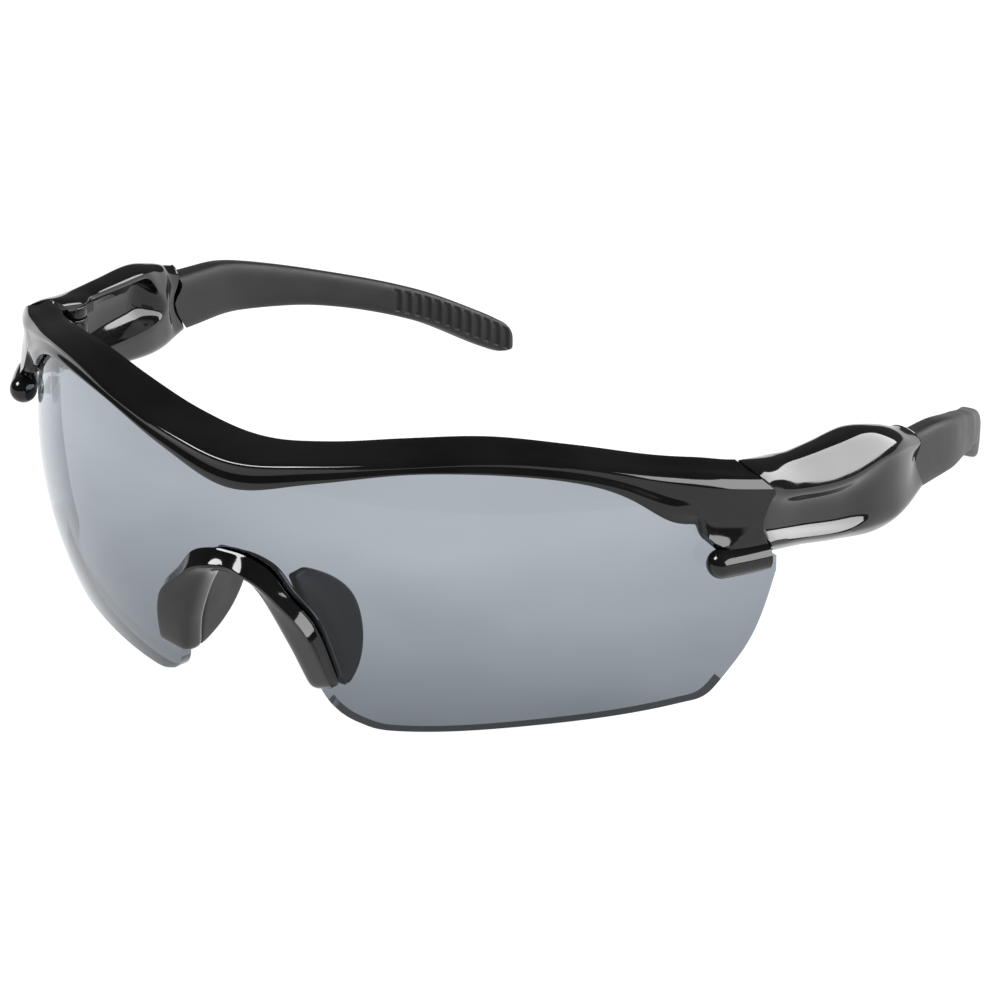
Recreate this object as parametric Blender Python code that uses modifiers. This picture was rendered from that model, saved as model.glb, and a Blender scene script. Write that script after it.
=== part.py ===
"""Wrap-around safety glasses with one smoke lens, a brow frame and two folding temples.

Lengths in this file are millimetres and are scaled to metres when a mesh is made.
The front faces -Y, the temples run back to +Y, and the glasses rest on z = 0.
The lens is a slice of a barrel-shaped surface that is centred on the Z axis.
"""
import math

import bmesh
import bpy
from mathutils import Vector

# ---- driving dimensions (millimetres and degrees) ----
MM = 0.001
GAP = 0.3
LENS_RADIUS = 78.4
LENS_CROWN_RADIUS = 64.2
LENS_EQUATOR_Z = 26.0
LENS_THICKNESS = 2.0
LENS_END_ANGLE = 63.3
FRAME_END_ANGLE = 60.4
LENS_TAB_ANGLE = 57.0
LENS_STEP_Z = 27.9
GROOVE_WALL = 1.2
HINGE_X = 66.2
HINGE_Y = -32.6
PIN_RADIUS = 0.8
PIN_CLEARANCE = 0.06
LUG_RADIUS = 2.5
LUG_LOW = 33.4
LUG_HIGH = 38.6
KNUCKLE_HEIGHT = 2.0
ARM_FRONT_Y = -38.6
ARM_REAR_Y = 7.4
TIP_END_Y = 80.8
TIP_END_LENGTH = 2.6
TIP_END_SHARE = 0.38
FOOT_Z = 0.0
TIP_GROOVES = 12
TIP_GROOVE_PITCH = 2.1
CORE_THICKNESS = 1.6
CORE_HEIGHT = 3.2
CORE_END_Y = 56.0
CORE_IN_ARM = 5.2
PAD_LOW_Z = 5.8
PAD_HIGH_Z = 24.4
PAD_THICKNESS = 1.8
PAD_ROOT_Y = -70.0
PAD_REACH = 9.3
PIN_HEAD_RADIUS = 1.5
PIN_HEAD_HEIGHT = 0.7
COVER_LOW_Z = 41.4
PAD_TOP_X = 8.6
PAD_TOP_Z = 24.0
PAD_SPLAY = 0.33
GROOVE_LAST_Y = 78.2
GROOVE_HALF_WIDTH = 0.55
GROOVE_DEPTH = 0.45
GROOVE_HEIGHT_SHARE = 0.36

# Front tables hold (angle from straight ahead, value) and temple tables hold (y, value).
# Heights that cross the middle start with a mirrored point, so that they are level there.
LENS_LOWER_EDGE = [
    (-4, 24.6), (0, 26.6), (4, 24.6), (8, 14.7), (11, 4.4), (15, 0.7), (19, 0.3), (36, 2.8), (53, 4.5),
    (56, 5.2), (58, 8.6), (61, 15.6), (LENS_END_ANGLE, 25.6),
]
BROW_LOWER_EDGE = [
    (-10, 41.6), (0, 38.6), (10, 41.6), (20, 44.4), (28, 45.1), (36, 44.5), (42, 42.9), (46, 40.5),
    (50, 36.7), (53, 35.9),
]
THUMB_LOWER_EDGE = [(53.5, 32.0), (55, 28.7), (57.5, 27.3), (61, 28.6)]
BROW_CREASE = [(-10, 44.2), (0, 42.6), (10, 44.2), (20, 45.9), (30, 47.0), (40, 46.0), (50, 43.2), (61, 40.4)]
BROW_TOP = [
    (-10, 45.5), (0, 44.0), (10, 45.5), (20, 47.7), (30, 48.9), (40, 47.6), (50, 45.4), (61, 43.9),
]
BROW_TOP_RADIUS = [(0, 68.6), (15, 69.2), (30, 70.2), (45, 71.6), (61, 75.4)]
BROW_FACE_DEPTH = [(0, 1.7), (20, 1.4), (40, 1.5), (50, 2.4), (56, 3.9), (61, 5.0)]
GROOVE_TOP = [(-10, 43.5), (0, 41.6), (10, 43.5), (20, 45.5), (30, 46.4), (40, 45.2), (50, 42.7), (61, 40.6)]
INNER_LIP = [
    (-10, 42.1), (0, 40.0), (10, 42.1), (20, 44.2), (30, 45.0), (40, 43.8), (50, 39.0), (57, 31.6),
    (61, 29.9),
]
ARM_TOP = [
    (ARM_FRONT_Y, 43.9), (-30, 42.1), (-20, 41.2), (-10, 40.5), (-4, 38.9), (0, 37.3), (ARM_REAR_Y, 34.9),
]
ARM_BOTTOM = [(ARM_FRONT_Y, 29.4), (-30, 27.4), (-20, 24.8), (-10, 22.9), (-3, 22.5), (ARM_REAR_Y, 23.9)]
ARM_OUTER_HIGH = [(ARM_FRONT_Y, 70.6), (-30, 71.8), (-20, 73.0), (-10, 74.6), (-4, 75.2), (ARM_REAR_Y, 74.0)]
ARM_OUTER_GROOVE = [(ARM_FRONT_Y, 69.9), (-20, 72.2), (-10, 74.4), (-4, 75.4), (ARM_REAR_Y, 74.0)]
ARM_OUTER_LOW = [(ARM_FRONT_Y, 71.3), (-20, 73.4), (-10, 75.6), (-4, 76.2), (ARM_REAR_Y, 74.6)]
ARM_INNER = [
    (ARM_FRONT_Y, 69.2), (-31, 69.2), (-28.6, 66.4), (-20, 66.6), (-8, 67.4), (0, 68.6), (ARM_REAR_Y, 69.2),
]
ARM_POCKET_FLOOR = [
    (ARM_FRONT_Y, 69.3), (-31, 69.3), (-28.6, 69.5), (-20, 70.6), (-10, 71.4), (-8.6, 71.2), (-6.6, 67.6),
]
TIP_CENTRE = [(ARM_REAR_Y, 29.3), (20, 27.2), (40, 21.6), (60, 13.6), (74, 5.4), (TIP_END_Y, 1.2)]
TIP_HEIGHT = [(ARM_REAR_Y, 10.9), (20, 9.6), (40, 7.0), (60, 6.6), (74, 7.1), (TIP_END_Y, 6.2)]
TIP_OUTER = [(ARM_REAR_Y, 74.2), (20, 73.7), (30, 71.4), (40, 68.5), (60, 60.8), (TIP_END_Y, 51.8)]
TIP_THICKNESS = [(ARM_REAR_Y, 4.8), (20, 4.4), (40, 4.2), (70, 4.6), (TIP_END_Y, 4.4)]
# Depth of the saddle over the lens, by share of the way down the nose cut.
BRIDGE_FLANGE = [(0.0, 2.3), (0.25, 4.2), (0.42, 3.4), (0.58, 3.4), (0.72, 4.8), (0.86, 4.6), (1.0, 3.0)]


# ---- small geometry tools ----
def curve(points, at):
    """Smooth value through (position, value) points, flat beyond both ends."""
    if at <= points[0][0]:
        return points[0][1]
    if at >= points[-1][0]:
        return points[-1][1]
    i = max(k for k in range(len(points) - 1) if points[k][0] <= at)
    slopes = []
    for k in (i, i + 1):
        before = points[max(k - 1, 0)]
        after = points[min(k + 1, len(points) - 1)]
        slopes.append((after[1] - before[1]) / (after[0] - before[0]))
    span = points[i + 1][0] - points[i][0]
    t = (at - points[i][0]) / span
    start = (2 * t ** 3 - 3 * t ** 2 + 1) * points[i][1] + (t ** 3 - 2 * t ** 2 + t) * span * slopes[0]
    end = (3 * t ** 2 - 2 * t ** 3) * points[i + 1][1] + (t ** 3 - t ** 2) * span * slopes[1]
    return start + end


def steps(low, high, count):
    return [low + (high - low) * k / (count - 1) for k in range(count)]


def around(angle, radius, z):
    """A point at an angle from straight ahead, positive towards +X."""
    a = math.radians(angle)
    return Vector((radius * math.sin(a), -radius * math.cos(a), z))


def lens_radius(z):
    """Outer radius of the lens surface at a height."""
    drop = math.sqrt(LENS_CROWN_RADIUS ** 2 - (z - LENS_EQUATOR_Z) ** 2)
    return LENS_RADIUS - LENS_CROWN_RADIUS + drop


def finish(mesh, name, material, origin):
    """Scale a millimetre mesh, put its origin in place and add it to the glasses."""
    bm = bmesh.new()
    bm.from_mesh(mesh)
    bmesh.ops.translate(bm, verts=bm.verts, vec=-Vector(origin))
    bmesh.ops.scale(bm, verts=bm.verts, vec=(MM, MM, MM))
    bmesh.ops.recalc_face_normals(bm, faces=bm.faces)
    bm.to_mesh(mesh)
    bm.free()
    mesh.shade_smooth()
    mesh.set_sharp_from_angle(angle=math.radians(35))
    mesh.materials.clear()
    mesh.materials.append(material)
    obj = bpy.data.objects.new(name, mesh)
    obj.location = Vector(origin) * MM
    glasses.objects.link(obj)
    return obj


def loft(name, rings):
    """A closed mesh through rings of equal point count, with both ends capped."""
    bm = bmesh.new()
    rows = [[bm.verts.new(p) for p in ring] for ring in rings]
    count = len(rows[0])
    for a, b in zip(rows, rows[1:]):
        for k in range(count):
            bm.faces.new((a[k], a[(k + 1) % count], b[(k + 1) % count], b[k]))
    bm.faces.new(reversed(rows[0]))
    bm.faces.new(rows[-1])
    bmesh.ops.recalc_face_normals(bm, faces=bm.faces)
    mesh = bpy.data.meshes.new(name)
    bm.to_mesh(mesh)
    bm.free()
    return mesh


def shell(name, rows, thickness):
    """A sheet through rows of points, thickened away from its normals by Solidify."""
    bm = bmesh.new()
    verts = [[bm.verts.new(p) for p in row] for row in rows]
    for a, b in zip(verts, verts[1:]):
        for k in range(len(a) - 1):
            bm.faces.new((a[k], b[k], b[k + 1], a[k + 1]))
    sheet = bpy.data.meshes.new(name + "_sheet")
    bm.to_mesh(sheet)
    bm.free()
    obj = cutter(name + "_sheet", sheet)
    solid = obj.modifiers.new("thickness", "SOLIDIFY")
    solid.thickness = thickness
    solid.offset = -1.0
    solid.use_even_offset = True
    return evaluated(obj, name)


def cutter(name, mesh):
    """An object in the cutters' collection, drawn as wires and left out of renders."""
    obj = bpy.data.objects.new(name, mesh)
    obj.hide_render = True
    obj.display_type = "WIRE"
    cutters.objects.link(obj)
    return obj


def evaluated(obj, name):
    """The mesh of an object with its modifiers, taken into a new mesh."""
    bpy.context.view_layer.update()
    graph = bpy.context.evaluated_depsgraph_get()
    mesh = bpy.data.meshes.new_from_object(obj.evaluated_get(graph))
    mesh.name = name
    bpy.data.objects.remove(obj)
    return mesh


def combine(mesh, others, operation):
    """Union with, or difference from, other closed meshes by exact Booleans."""
    obj = cutter("blank", mesh)
    tools = []
    for other in others:
        tool = cutter("tool", other)
        tools.append(tool)
        boolean = obj.modifiers.new("boolean", "BOOLEAN")
        boolean.operation = operation
        boolean.object = tool
        boolean.solver = "EXACT"
    result = evaluated(obj, mesh.name)
    for tool in tools:
        bpy.data.objects.remove(tool)
    return result


def cylinder(radius, low, high, x, y, sides=24):
    bm = bmesh.new()
    bmesh.ops.create_cone(
        bm, cap_ends=True, segments=sides, radius1=radius, radius2=radius, depth=high - low,
    )
    bmesh.ops.translate(bm, verts=bm.verts, vec=(x, y, (low + high) / 2))
    mesh = bpy.data.meshes.new("cylinder")
    bm.to_mesh(mesh)
    bm.free()
    return mesh


def block(low, high):
    """A box between two opposite corners."""
    bm = bmesh.new()
    bmesh.ops.create_cube(bm, size=1.0)
    bmesh.ops.scale(bm, verts=bm.verts, vec=[h - l for l, h in zip(low, high)])
    bmesh.ops.translate(bm, verts=bm.verts, vec=[(l + h) / 2 for l, h in zip(low, high)])
    mesh = bpy.data.meshes.new("block")
    bm.to_mesh(mesh)
    bm.free()
    return mesh


def mirrored(mesh):
    """The same mesh on the other side of the glasses."""
    copy = mesh.copy()
    bm = bmesh.new()
    bm.from_mesh(copy)
    bmesh.ops.scale(bm, verts=bm.verts, vec=(-1, 1, 1))
    bmesh.ops.reverse_faces(bm, faces=bm.faces)
    bm.to_mesh(copy)
    bm.free()
    return copy


# ---- materials ----
def plastic(name, colour, roughness, alpha=1.0):
    material = bpy.data.materials.new(name)
    material.use_nodes = True
    shader = material.node_tree.nodes["Principled BSDF"]
    shader.inputs["Base Color"].default_value = (*colour, 1.0)
    shader.inputs["Roughness"].default_value = roughness
    shader.inputs["Metallic"].default_value = 0.0
    shader.inputs["Alpha"].default_value = alpha
    return material


def steel(name):
    material = plastic(name, (0.55, 0.56, 0.58), 0.3)
    material.node_tree.nodes["Principled BSDF"].inputs["Metallic"].default_value = 1.0
    return material


# ---- front pieces ----
def pad_rear_edge(z):
    """Rear edge of a nose pad: half an ellipse below its middle and a parabola above."""
    share = (2 * z - PAD_LOW_Z - PAD_HIGH_Z) / (PAD_HIGH_Z - PAD_LOW_Z)
    bulge = 1 - min(1.0, share * share)
    return PAD_ROOT_Y + PAD_REACH * (math.sqrt(bulge) if share < 0 else bulge)


def lens_angles():
    near_nose = steps(0.0, 11.0, 15)
    middle = steps(12.5, 54.3, 16)
    outer = [55.6, 57.0, 58.4, 59.8, 61.0, 61.9, 62.6, 63.0, LENS_END_ANGLE]
    half = near_nose + middle + outer
    return [-a for a in reversed(half[1:])] + half


def lens_step(side):
    """Cutter for the corner that the lens leaves free for the frame's solid end."""
    rings = []
    for angle in (LENS_TAB_ANGLE, LENS_END_ANGLE + 3.0):
        rings.append([
            around(side * angle, radius, z)
            for radius, z in ((66, LENS_STEP_Z), (90, LENS_STEP_Z), (90, 50), (66, 50))
        ])
    return loft("lens_step", rings)


def lens():
    """One barrel-curved sheet, its top edge hidden in the brow's groove."""
    rows = []
    for angle in lens_angles():
        low = curve(LENS_LOWER_EDGE, abs(angle))
        high = curve(GROOVE_TOP, abs(angle)) - GAP
        rows.append([around(angle, lens_radius(z), z) for z in steps(low, high, 9)])
    mesh = combine(shell("lens", rows, LENS_THICKNESS), [lens_step(1), lens_step(-1)], "DIFFERENCE")
    return finish(mesh, "lens", smoke, (0, 0, 0))


def outer_lip(angle):
    if angle > 53.0:
        return curve(THUMB_LOWER_EDGE, angle)
    return curve(BROW_LOWER_EDGE, angle)


def frame_section(angle):
    """Inverted U over the lens edge: outer face, crease, sloping top, back and inner lip."""
    a = abs(angle)
    low = outer_lip(a)
    crease = curve(BROW_CREASE, a)
    top = curve(BROW_TOP, a)
    back = curve(BROW_TOP_RADIUS, a)
    face = curve(BROW_FACE_DEPTH, a)
    lip = curve(INNER_LIP, a)
    groove = curve(GROOVE_TOP, a)
    waist = min(face, 1.9)
    inside = lens_radius(lip) - LENS_THICKNESS - GAP
    profile = [
        (lens_radius(low) + GAP, low),
        (lens_radius(low) + 0.9, low - 0.1),
        (lens_radius(low) + face - 0.1, low + 0.18 * (crease - low)),
        (lens_radius(low) + face, low + 0.36 * (crease - low)),
        (lens_radius(crease) + waist, low + 0.62 * (crease - low)),
        (lens_radius(crease) + face + 0.1, low + 0.88 * (crease - low)),
        (lens_radius(crease) + face - 0.2, crease + 0.12 * (top - crease)),
        (0.55 * (lens_radius(crease) + face) + 0.45 * back, crease + 0.72 * (top - crease)),
        (back + 1.3, top),
        (back + 0.2, top - 0.4),
        (min(back - 0.1, lens_radius(groove) - LENS_THICKNESS - GAP - GROOVE_WALL), top - 1.3),
        (inside - GROOVE_WALL, lip + 0.5),
        (inside - GROOVE_WALL + 0.4, lip),
        (inside, lip),
        (lens_radius((lip + groove) / 2) - LENS_THICKNESS - GAP, (lip + groove) / 2),
        (lens_radius(groove) - LENS_THICKNESS - GAP, groove),
        (lens_radius(groove) + GAP, groove),
        (lens_radius((low + groove) / 2) + GAP, (low + groove) / 2),
    ]
    return [around(angle, r, z) for r, z in profile]


def frame_angles():
    half = steps(0.0, 44.0, 19) + [46.0, 48.0, 49.6, 51.2, 52.9, 53.5, 54.0, 54.9, 56.2, 57.6, 59.0]
    half.append(FRAME_END_ANGLE)
    return [-a for a in reversed(half[1:])] + half


def solid_end(side):
    """Fills the groove beyond the lens, so that each end of the frame is solid."""
    rings = []
    for angle in steps(LENS_TAB_ANGLE + 0.4, FRAME_END_ANGLE - 0.05, 3):
        rings.append([
            around(side * angle, lens_radius(z) + offset, z)
            for offset, z in ((-3.0, 29.9), (-3.0, 35.0), (-3.0, 41.0), (0.8, 41.0), (0.8, 35.0), (0.8, 29.9))
        ])
    return loft("solid_end", rings)


def hinge_lug(side):
    """The frame's middle hinge lug, on a web that comes from the frame's end."""
    x = side * HINGE_X
    eye = cylinder(LUG_RADIUS, LUG_LOW, LUG_HIGH, x, HINGE_Y)
    web = loft("web", [[
        (x - side * 2.2, HINGE_Y, z), (x + side * 2.2, HINGE_Y, z),
        (x + side * 2.0, HINGE_Y - 6.6, z), (x - side * 3.4, HINGE_Y - 6.6, z),
    ] for z in (LUG_LOW + 0.15, LUG_HIGH - 0.15)])
    return [eye, web]


def brow_frame():
    mesh = loft("brow_frame", [frame_section(a) for a in frame_angles()])
    ends = [solid_end(1), solid_end(-1)]
    mesh = combine(mesh, ends + hinge_lug(1) + hinge_lug(-1), "UNION")
    bores = [
        cylinder(PIN_RADIUS + PIN_CLEARANCE, LUG_LOW - 1, LUG_HIGH + 1, side * HINGE_X, HINGE_Y)
        for side in (1, -1)
    ]
    mesh = combine(mesh, bores, "DIFFERENCE")
    return finish(mesh, "brow_frame", gloss_black, (0, 0, 0))


def bridge_station(t):
    """Point, inward normal and in-lens direction on the nose cut; t runs 0 at the top to 1."""
    angle = 9.7 * t ** 0.85
    ahead = 9.7 * (t + 0.02) ** 0.85
    z = curve(LENS_LOWER_EDGE, angle)
    z_ahead = curve(LENS_LOWER_EDGE, ahead)
    here = around(angle, lens_radius(z) - LENS_THICKNESS / 2, z)
    there = around(ahead, lens_radius(z_ahead) - LENS_THICKNESS / 2, z_ahead)
    along = (there - here).normalized()
    normal = around(angle, 1.0, 0.0)
    if t == 0.0:
        along = Vector((1, 0, 0))
    into_lens = normal.cross(along).normalized()
    return here, normal, into_lens


def bridge_section(t, side):
    """U over the lens edge: web in the nose gap, front and rear flanges over the lens."""
    here, normal, into = bridge_station(t)
    flange = curve(BRIDGE_FLANGE, t)
    half = LENS_THICKNESS / 2 + GAP
    profile = [
        (-GAP, -half), (-GAP, half), (flange, half), (flange, half + 0.5), (flange - 1.0, half + 1.5),
        (0.2, half + 2.1), (-1.2, half + 1.7), (-1.8, half + 0.6), (-1.8, -half - 0.6),
        (-1.2, -half - 1.3), (flange - 1.6, -half - 1.3), (flange - 1.0, -half),
    ]
    points = [here + into * m + normal * n for m, n in profile]
    return [Vector((side * p.x, p.y, p.z)) for p in points]


def nose_bridge():
    left = [bridge_section(t, 1) for t in steps(0.0, 1.0, 17)]
    right = [bridge_section(t, -1) for t in steps(0.0, 1.0, 17)]
    rings = list(reversed(right[1:])) + left
    return finish(loft("nose_bridge", rings), "nose_bridge", gloss_black, (0, 0, 0))


def nose_pad(side, name):
    """A D-shaped rubber wing that runs back beside the nose, its lower end further out."""
    rows = []
    for z in steps(PAD_LOW_Z, PAD_HIGH_Z, 13):
        x = PAD_TOP_X + (PAD_TOP_Z - z) * PAD_SPLAY
        front = -math.sqrt((lens_radius(z) - LENS_THICKNESS) ** 2 - x ** 2) + 2.1
        rear = max(pad_rear_edge(z), front + 1.2)
        rows.append([Vector((side * x, y, z)) for y in steps(front, rear, 6)])
    if side > 0:
        rows.reverse()
    return finish(shell(name, rows, PAD_THICKNESS), name, rubber, (0, 0, 0))


# ---- temple pieces, made for the +X side and mirrored for the other ----
def arm_section(y):
    """C section with two ridges and a valley outside and a pocket inside."""
    top = curve(ARM_TOP, y)
    low = curve(ARM_BOTTOM, y)
    rise = top - low
    high = curve(ARM_OUTER_HIGH, y)
    valley = curve(ARM_OUTER_GROOVE, y)
    ridge = curve(ARM_OUTER_LOW, y)
    inner = curve(ARM_INNER, y)
    floor = max(inner, curve(ARM_POCKET_FLOOR, y)) + 0.02
    profile = [
        (inner + 0.25 * (high - inner), top - 0.25), (inner + 0.6 * (high - inner), top),
        (high - 0.5, top - 0.12 * rise), (high, top - 0.24 * rise),
        (valley + 0.3, top - 0.42 * rise), (valley, top - 0.54 * rise),
        (ridge - 0.3, low + 0.34 * rise), (ridge, low + 0.22 * rise), (ridge - 0.7, low + 0.08 * rise),
        (inner + 0.62 * (ridge - inner), low), (inner + 0.25 * (ridge - inner), low + 0.3),
        (inner, low + 1.0), (inner, low + 2.0), (floor, low + 2.6),
        (floor, top - 2.6), (inner, top - 2.0), (inner, top - 1.0),
    ]
    return [(x, y, z) for x, z in profile]


def arm_knuckles():
    """Upper and lower hinge ears joined to the outer wall by webs."""
    parts = []
    for low in (LUG_LOW - GAP - KNUCKLE_HEIGHT, LUG_HIGH + GAP):
        high = low + KNUCKLE_HEIGHT
        parts.append(cylinder(LUG_RADIUS, low, high, HINGE_X, HINGE_Y))
        parts.append(block((HINGE_X - 1.9, HINGE_Y - 0.4, low + 0.15), (70.3, HINGE_Y + 3.4, high - 0.15)))
    return parts


def hinge_cover():
    """Plate over the hinge, joined to the arm's outer wall, its front edge along the seam."""
    outline = [(64.4, -35.5), (70.2, -38.5), (70.2, -27.8), (66.8, -27.8), (64.4, -30.5)]
    low = [(x, y, COVER_LOW_Z) for x, y in outline]
    high = [(x, y, curve(ARM_TOP, y) - 0.4) for x, y in outline]
    return loft("hinge_cover", [low, high])


def core_section(y, extra):
    """Rounded-off rectangle of the stiffening core, grown by extra on every side."""
    x = curve(TIP_OUTER, y) - curve(TIP_THICKNESS, y) / 2
    z = curve(TIP_CENTRE, y)
    w = CORE_THICKNESS / 2 + extra
    h = CORE_HEIGHT / 2 + extra
    return [(x - w, y, z - h), (x + w, y, z - h), (x + w, y, z + h), (x - w, y, z + h)]


def core_mesh(low, high, extra):
    return loft("core", [core_section(y, extra) for y in steps(low, high, 12)])


def arm_mesh():
    stations = steps(ARM_FRONT_Y, -31.0, 6) + steps(-29.8, -10.0, 13) + steps(-9.2, -6.2, 5)
    stations += steps(-4.6, ARM_REAR_Y, 7)
    mesh = loft("temple_arm", [arm_section(y) for y in stations])
    mesh = combine(mesh, arm_knuckles() + [hinge_cover()], "UNION")
    bore = cylinder(PIN_RADIUS + PIN_CLEARANCE, LUG_LOW - 6, COVER_LOW_Z - 0.1, HINGE_X, HINGE_Y)
    socket = core_mesh(ARM_REAR_Y - CORE_IN_ARM - GAP, ARM_REAR_Y + 1.0, GAP)
    return combine(mesh, [bore, socket], "DIFFERENCE")


def tip_end_share(y):
    """Share of its full section that the temple tip keeps as it rounds off at its end."""
    left = (TIP_END_Y - y) / TIP_END_LENGTH
    if left >= 1.0:
        return 1.0
    return math.sqrt(max(0.0, 1.0 - (1.0 - left) ** 2)) * (1.0 - TIP_END_SHARE) + TIP_END_SHARE


def tip_section(y):
    """Flat-sided oval of the rubber temple tip."""
    thickness = curve(TIP_THICKNESS, y)
    height = curve(TIP_HEIGHT, y)
    x = curve(TIP_OUTER, y) - thickness / 2
    z = curve(TIP_CENTRE, y)
    end = tip_end_share(y)
    ring = []
    for k in range(16):
        a = 2 * math.pi * (k + 0.5) / 16
        cx = math.copysign(abs(math.cos(a)) ** 0.55, math.cos(a))
        cz = math.copysign(abs(math.sin(a)) ** 0.6, math.sin(a))
        ring.append((x + cx * end * thickness / 2, y, z + cz * end * height / 2))
    return ring


def tip_mesh():
    """Rubber sleeve over the core, cut flat underneath where it stands on a table."""
    first = ARM_REAR_Y + GAP
    stations = steps(first, 54.0, 14) + steps(56.0, 77.6, 10) + [78.6, 79.5, 80.3, TIP_END_Y]
    mesh = loft("temple_tip", [tip_section(y) for y in stations])
    cavity = core_mesh(first - 1.0, CORE_END_Y + GAP, GAP)
    below = block((30.0, 60.0, -6.0), (70.0, 90.0, FOOT_Z))
    return combine(mesh, [cavity, below] + tip_grooves(), "DIFFERENCE")


def tip_grooves():
    """Cutters for the row of upright grip grooves on the inner side of the tip."""
    cuts = []
    for k in range(TIP_GROOVES):
        y = GROOVE_LAST_Y - k * TIP_GROOVE_PITCH
        front = y - GROOVE_HALF_WIDTH
        rear = y + GROOVE_HALF_WIDTH
        face = curve(TIP_OUTER, y) - curve(TIP_THICKNESS, y) + 0.1
        clear = face - 1.1
        rings = []
        for side in (-1, 1):
            z = curve(TIP_CENTRE, y) + side * curve(TIP_HEIGHT, y) * GROOVE_HEIGHT_SHARE
            rings.append([
                (clear, front, z), (face, front, z), (face + GROOVE_DEPTH - 0.1, y, z), (face, rear, z),
                (clear, rear, z),
            ])
        cuts.append(loft("groove", rings))
    return cuts


def pin_mesh():
    """Slotless hinge pin, turned about the hinge axis, with its low head underneath."""
    low = LUG_LOW - KNUCKLE_HEIGHT - 2 * GAP
    high = LUG_HIGH + GAP + KNUCKLE_HEIGHT - 0.2
    profile = [
        (0.0, high), (PIN_RADIUS, high), (PIN_RADIUS, low), (PIN_HEAD_RADIUS, low),
        (PIN_HEAD_RADIUS, low - PIN_HEAD_HEIGHT + 0.3), (PIN_HEAD_RADIUS - 0.3, low - PIN_HEAD_HEIGHT),
        (0.0, low - PIN_HEAD_HEIGHT),
    ]
    bm = bmesh.new()
    verts = [bm.verts.new((r, 0, z)) for r, z in profile]
    for a, b in zip(verts, verts[1:]):
        bm.edges.new((a, b))
    line = bpy.data.meshes.new("pin_profile")
    bm.to_mesh(line)
    bm.free()
    obj = cutter("pin_profile", line)
    screw = obj.modifiers.new("turn", "SCREW")
    screw.steps = 20
    screw.render_steps = 20
    screw.use_merge_vertices = True
    screw.merge_threshold = 0.0001
    mesh = evaluated(obj, "hinge_pin")
    bm = bmesh.new()
    bm.from_mesh(mesh)
    bmesh.ops.remove_doubles(bm, verts=bm.verts, dist=0.0001)
    bmesh.ops.translate(bm, verts=bm.verts, vec=(HINGE_X, HINGE_Y, 0))
    bm.to_mesh(mesh)
    bm.free()
    return mesh


def temples():
    pieces = [
        ("temple_arm", arm_mesh(), gloss_black),
        ("temple_core", core_mesh(ARM_REAR_Y - CORE_IN_ARM, CORE_END_Y, 0.0), core_grey),
        ("temple_tip", tip_mesh(), rubber),
        ("hinge_pin", pin_mesh(), pin_steel),
    ]
    for base, mesh, material in pieces:
        for side, word in ((1, "left"), (-1, "right")):
            copy = mesh.copy() if side > 0 else mirrored(mesh)
            finish(copy, base + "_" + word, material, (side * HINGE_X, HINGE_Y, LUG_LOW))


# ---- build ----
for old in list(bpy.data.objects):
    bpy.data.objects.remove(old)
glasses = bpy.data.collections.new("safety_glasses")
cutters = bpy.data.collections.new("cutters")
bpy.context.scene.collection.children.link(glasses)
bpy.context.scene.collection.children.link(cutters)
gloss_black = plastic("gloss_black", (0.012, 0.012, 0.013), 0.12)
rubber = plastic("matte_rubber", (0.03, 0.03, 0.032), 0.6)
core_grey = plastic("core_nylon", (0.06, 0.06, 0.062), 0.45)
smoke = plastic("smoke_lens", (0.33, 0.36, 0.39), 0.04, 0.7)
pin_steel = steel("pin_steel")
brow_frame()
lens()
nose_bridge()
nose_pad(1, "nose_pad_left")
nose_pad(-1, "nose_pad_right")
temples()
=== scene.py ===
"""Looks of the wrap-around safety glasses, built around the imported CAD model.

Lengths here are millimetres and are scaled to metres when a mesh is made.
The front faces -Y, the temples run back to +Y, and the glasses rest on z = 0.
"""
import math

import bmesh
import bpy
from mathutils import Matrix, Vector


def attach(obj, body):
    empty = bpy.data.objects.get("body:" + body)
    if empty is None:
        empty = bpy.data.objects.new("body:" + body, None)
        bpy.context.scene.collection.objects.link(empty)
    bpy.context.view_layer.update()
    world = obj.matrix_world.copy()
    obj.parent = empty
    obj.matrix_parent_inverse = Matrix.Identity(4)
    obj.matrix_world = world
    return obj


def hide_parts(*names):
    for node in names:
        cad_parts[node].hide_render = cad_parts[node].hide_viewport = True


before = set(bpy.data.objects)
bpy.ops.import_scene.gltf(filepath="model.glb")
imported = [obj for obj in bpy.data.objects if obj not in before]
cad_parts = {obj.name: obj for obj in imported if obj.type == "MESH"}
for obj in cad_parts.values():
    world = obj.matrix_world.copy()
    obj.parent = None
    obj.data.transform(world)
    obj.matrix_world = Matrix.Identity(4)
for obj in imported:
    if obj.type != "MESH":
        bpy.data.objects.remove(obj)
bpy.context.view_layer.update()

# ---- driving dimensions (millimetres and degrees) ----
MM = 0.001
GAP = 0.3
LENS_RADIUS = 78.4
LENS_CROWN_RADIUS = 64.2
LENS_EQUATOR_Z = 26.0
LENS_THICKNESS = 2.0
LENS_BEVEL = 0.28
# Bevel faces lie between these cosines with the lens's outward direction; they get painted shade, the dark
# line along the lens's edge.
BEVEL_FACING = (0.15, 0.97)
LENS_END_ANGLE = 63.3
LENS_TAB_ANGLE = 57.0
LENS_STEP_Z = 27.9
LENS_STEP_BLEND = 0.25
POLYCARBONATE_MIRROR = 0.018
GROOVE_WALL = 1.2
FRAME_END_ANGLE = 60.4
THUMB_ANGLE = 53.0
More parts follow.
